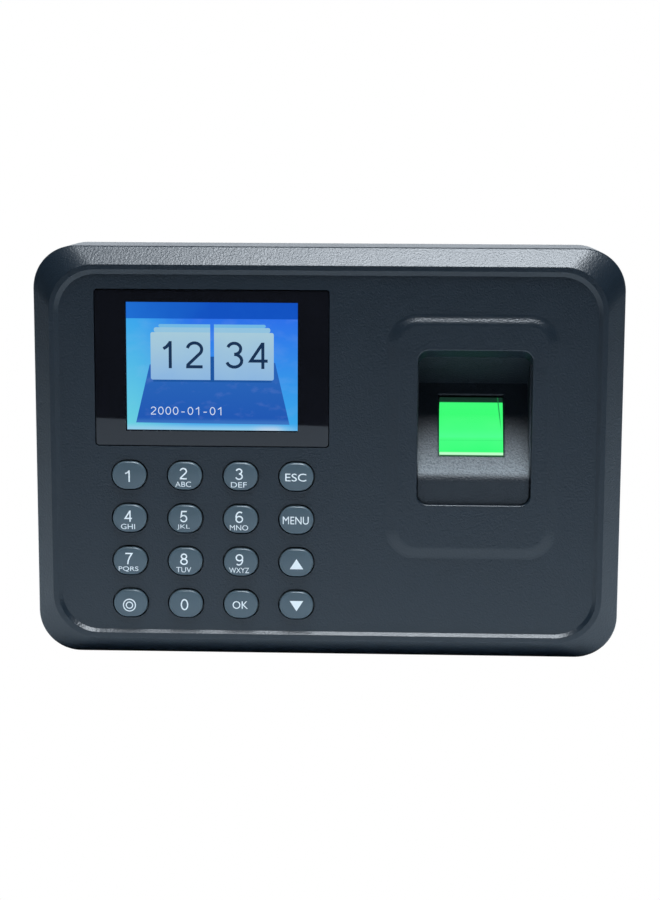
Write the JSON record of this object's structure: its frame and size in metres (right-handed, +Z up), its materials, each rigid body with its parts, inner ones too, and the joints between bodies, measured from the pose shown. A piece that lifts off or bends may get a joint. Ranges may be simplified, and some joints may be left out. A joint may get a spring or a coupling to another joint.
{
  "type": "fingerprint scanner terminal",
  "caption": "Flat wall-mounted terminal: rounded case with sloped edges, colour display, oval keys, and a raised window round an inclined finger sensor.",
  "frame": {"origin": "centre of the back face, which lies flat against the wall", "axes": "+X to the right of someone facing the terminal, +Y into the wall, +Z up"},
  "size_m": [0.1678, 0.03, 0.118],
  "materials": {
    "back_case": "fine grained charcoal",
    "black_plastic": "moulded",
    "can_metal": "drawn can",
    "cell_steel": "bright",
    "chip_plastic": "moulded epoxy",
    "circuit_board": "solder resist on glass fibre",
    "clear_glass": "polished",
    "cone_film": "doped paper",
    "display_glass": "glossy, lit from behind",
    "foam": "open foam",
    "front_case": "fine grained charcoal",
    "guide_plastic": "satin, fine grained",
    "key_rubber": "moulded silicone, printed legends",
    "label_film": "satin polyester film",
    "lamp_plastic": "clear moulded",
    "lead_jacket": "soft sleeve",
    "lens_acrylic": "polished, black printed border round a clear window",
    "light_plastic": "diffusing film",
    "magnet": "plated",
    "mat_rubber": "moulded silicone",
    "pin_brass": "nickel flashed",
    "ribbon_film": "amber film",
    "screw_steel": "zinc plated",
    "sensor_glass": "polished, lit green from below",
    "socket_plastic": "moulded",
    "socket_steel": "nickel plated sheet",
    "stamped_steel": "stamped sheet",
    "tape": "adhesive foam tape"
  },
  "bodies": {
    "terminal": {"back_cover": "back_case", "board_plug": "socket_plastic", "board_screws": "screw_steel", "capacitors": "can_metal", "case_screws": "screw_steel", "cell_holder": "black_plastic", "coin_cell": "cell_steel", "crystal": "can_metal", "display_backlight": "light_plastic", "display_frame": "stamped_steel", "display_lens": "lens_acrylic", "display_panel": "display_glass", "display_ribbon": "ribbon_film", "display_socket": "socket_plastic", "finger_guide": "guide_plastic", "front_cover": "front_case", "guide_screws": "screw_steel", "image_sensor": "chip_plastic", "jack_body": "black_plastic", "jack_pin": "pin_brass", "keypad_mat": "mat_rubber", "lens_tape": "tape", "main_board": "circuit_board", "memory_chips": "chip_plastic", "processor": "chip_plastic", "rating_label": "label_film", "sensor_barrel": "black_plastic", "sensor_board": "circuit_board", "sensor_glass": "sensor_glass", "sensor_housing": "black_plastic", "sensor_lamps": "lamp_plastic", "sensor_lead": "lead_jacket", "sensor_lens": "clear_glass", "sensor_plug": "socket_plastic", "sensor_screws": "screw_steel", "speaker_cone": "cone_film", "speaker_frame": "stamped_steel", "speaker_gasket": "foam", "speaker_magnet": "magnet", "usb_shell": "socket_steel", "usb_tongue": "socket_plastic"},
    "key_0": {"key_0": "key_rubber"},
    "key_1": {"key_1": "key_rubber"},
    "key_2": {"key_2": "key_rubber"},
    "key_3": {"key_3": "key_rubber"},
    "key_4": {"key_4": "key_rubber"},
    "key_5": {"key_5": "key_rubber"},
    "key_6": {"key_6": "key_rubber"},
    "key_7": {"key_7": "key_rubber"},
    "key_8": {"key_8": "key_rubber"},
    "key_9": {"key_9": "key_rubber"},
    "key_down": {"key_down": "key_rubber"},
    "key_escape": {"key_escape": "key_rubber"},
    "key_menu": {"key_menu": "key_rubber"},
    "key_ok": {"key_ok": "key_rubber"},
    "key_power": {"key_power": "key_rubber"},
    "key_up": {"key_up": "key_rubber"}
  },
  "joints": [
    {"name": "key_0_press", "type": "slide", "parent": "terminal", "child": "key_0", "axis": [0, 1, 0], "range_m": [0, 0.0008], "stiffness_N_per_m": 1200},
    {"name": "key_1_press", "type": "slide", "parent": "terminal", "child": "key_1", "axis": [0, 1, 0], "range_m": [0, 0.0008], "stiffness_N_per_m": 1200},
    {"name": "key_2_press", "type": "slide", "parent": "terminal", "child": "key_2", "axis": [0, 1, 0], "range_m": [0, 0.0008], "stiffness_N_per_m": 1200},
    {"name": "key_3_press", "type": "slide", "parent": "terminal", "child": "key_3", "axis": [0, 1, 0], "range_m": [0, 0.0008], "stiffness_N_per_m": 1200},
    {"name": "key_4_press", "type": "slide", "parent": "terminal", "child": "key_4", "axis": [0, 1, 0], "range_m": [0, 0.0008], "stiffness_N_per_m": 1200},
    {"name": "key_5_press", "type": "slide", "parent": "terminal", "child": "key_5", "axis": [0, 1, 0], "range_m": [0, 0.0008], "stiffness_N_per_m": 1200},
    {"name": "key_6_press", "type": "slide", "parent": "terminal", "child": "key_6", "axis": [0, 1, 0], "range_m": [0, 0.0008], "stiffness_N_per_m": 1200},
    {"name": "key_7_press", "type": "slide", "parent": "terminal", "child": "key_7", "axis": [0, 1, 0], "range_m": [0, 0.0008], "stiffness_N_per_m": 1200},
    {"name": "key_8_press", "type": "slide", "parent": "terminal", "child": "key_8", "axis": [0, 1, 0], "range_m": [0, 0.0008], "stiffness_N_per_m": 1200},
    {"name": "key_9_press", "type": "slide", "parent": "terminal", "child": "key_9", "axis": [0, 1, 0], "range_m": [0, 0.0008], "stiffness_N_per_m": 1200},
    {"name": "key_down_press", "type": "slide", "parent": "terminal", "child": "key_down", "axis": [0, 1, 0], "range_m": [0, 0.0008], "stiffness_N_per_m": 1200},
    {"name": "key_escape_press", "type": "slide", "parent": "terminal", "child": "key_escape", "axis": [0, 1, 0], "range_m": [0, 0.0008], "stiffness_N_per_m": 1200},
    {"name": "key_menu_press", "type": "slide", "parent": "terminal", "child": "key_menu", "axis": [0, 1, 0], "range_m": [0, 0.0008], "stiffness_N_per_m": 1200},
    {"name": "key_ok_press", "type": "slide", "parent": "terminal", "child": "key_ok", "axis": [0, 1, 0], "range_m": [0, 0.0008], "stiffness_N_per_m": 1200},
    {"name": "key_power_press", "type": "slide", "parent": "terminal", "child": "key_power", "axis": [0, 1, 0], "range_m": [0, 0.0008], "stiffness_N_per_m": 1200},
    {"name": "key_up_press", "type": "slide", "parent": "terminal", "child": "key_up", "axis": [0, 1, 0], "range_m": [0, 0.0008], "stiffness_N_per_m": 1200}
  ]
}
